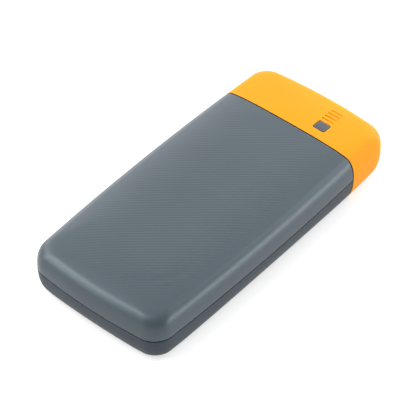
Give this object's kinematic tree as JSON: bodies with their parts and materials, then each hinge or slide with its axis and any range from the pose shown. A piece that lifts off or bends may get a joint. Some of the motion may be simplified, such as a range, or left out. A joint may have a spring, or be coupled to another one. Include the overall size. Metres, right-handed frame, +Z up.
{
  "type": "power bank",
  "caption": "Flat power bank: slate-grey half shells over pouch cells, an orange end cap with USB sockets in its end face, and a check button and bar-type charge gauge on top.",
  "frame": {"origin": "centre of the underside's bounding rectangle, on the surface the power bank lies on", "axes": "+Z up through the thickness, +Y along the body towards the end with the ports, +X across the body towards the side nearest the button and gauge"},
  "size_m": [0.08, 0.1679, 0.0264],
  "materials": {
    "slate_shell": "matte",
    "dark_shell": "matte",
    "orange_cap": "satin",
    "button_grey": "matte",
    "amber_guide": "satin",
    "black_plastic": "matte",
    "contact_plastic": "satin",
    "port_steel": "satin",
    "switch_steel": "satin",
    "board_laminate": "satin",
    "chip_epoxy": "matte",
    "fuse_ceramic": "matte",
    "ferrite": "matte",
    "can_aluminium": "satin",
    "lamp_lens": "satin",
    "pouch_foil": "satin",
    "nickel_strip": "satin",
    "red_silicone": "matte",
    "black_silicone": "matte",
    "grey_foam": "matte"
  },
  "bodies": {
    "casing": {"upper_shell": "slate_shell", "lower_shell": "dark_shell", "end_cap": "orange_cap", "board_carrier": "black_plastic", "gauge_light_guide": "amber_guide", "gauge_baffle": "black_plastic", "gauge_led_1": "lamp_lens", "gauge_led_2": "lamp_lens", "gauge_led_3": "lamp_lens", "gauge_led_4": "lamp_lens", "switch_body": "switch_steel", "circuit_board": "board_laminate", "board_screw_1": "port_steel", "board_screw_2": "port_steel", "board_screw_3": "port_steel", "board_screw_4": "port_steel", "charge_controller": "chip_epoxy", "port_controller": "chip_epoxy", "mosfet_1": "chip_epoxy", "mosfet_2": "chip_epoxy", "board_fuse": "fuse_ceramic", "inductor_1": "ferrite", "inductor_2": "ferrite", "capacitor_1": "can_aluminium", "capacitor_2": "can_aluminium", "usb_a_shell_1": "port_steel", "usb_a_tongue_1": "contact_plastic", "usb_a_shell_2": "port_steel", "usb_a_tongue_2": "contact_plastic", "usb_c_shell": "port_steel", "usb_c_tongue": "black_plastic", "battery_cell_lower": "pouch_foil", "battery_cell_upper": "pouch_foil", "positive_busbar": "nickel_strip", "negative_busbar": "nickel_strip", "positive_lead": "red_silicone", "negative_lead": "black_silicone", "thermistor": "chip_epoxy", "thermistor_lead": "black_silicone", "joint_seal": "black_silicone", "cell_base_tape": "grey_foam", "cell_middle_tape": "grey_foam", "cell_top_foam": "grey_foam", "cell_end_pad": "grey_foam"},
    "button": {"status_button": "button_grey"},
    "plunger": {"switch_plunger": "black_plastic"}
  },
  "joints": [
    {"name": "button_press", "type": "slide", "parent": "casing", "child": "button", "axis": [0, 0, -1], "range_m": [0, 0.0005], "stiffness_N_per_m": 1000, "springref_m": -0.0003},
    {"name": "plunger_press", "type": "slide", "parent": "casing", "child": "plunger", "axis": [0, 0, -1], "range_m": [0, 0.00025]}
  ],
  "couplings": [
    {"joint": "plunger_press", "follows": "button_press", "ratio": 0.5}
  ]
}
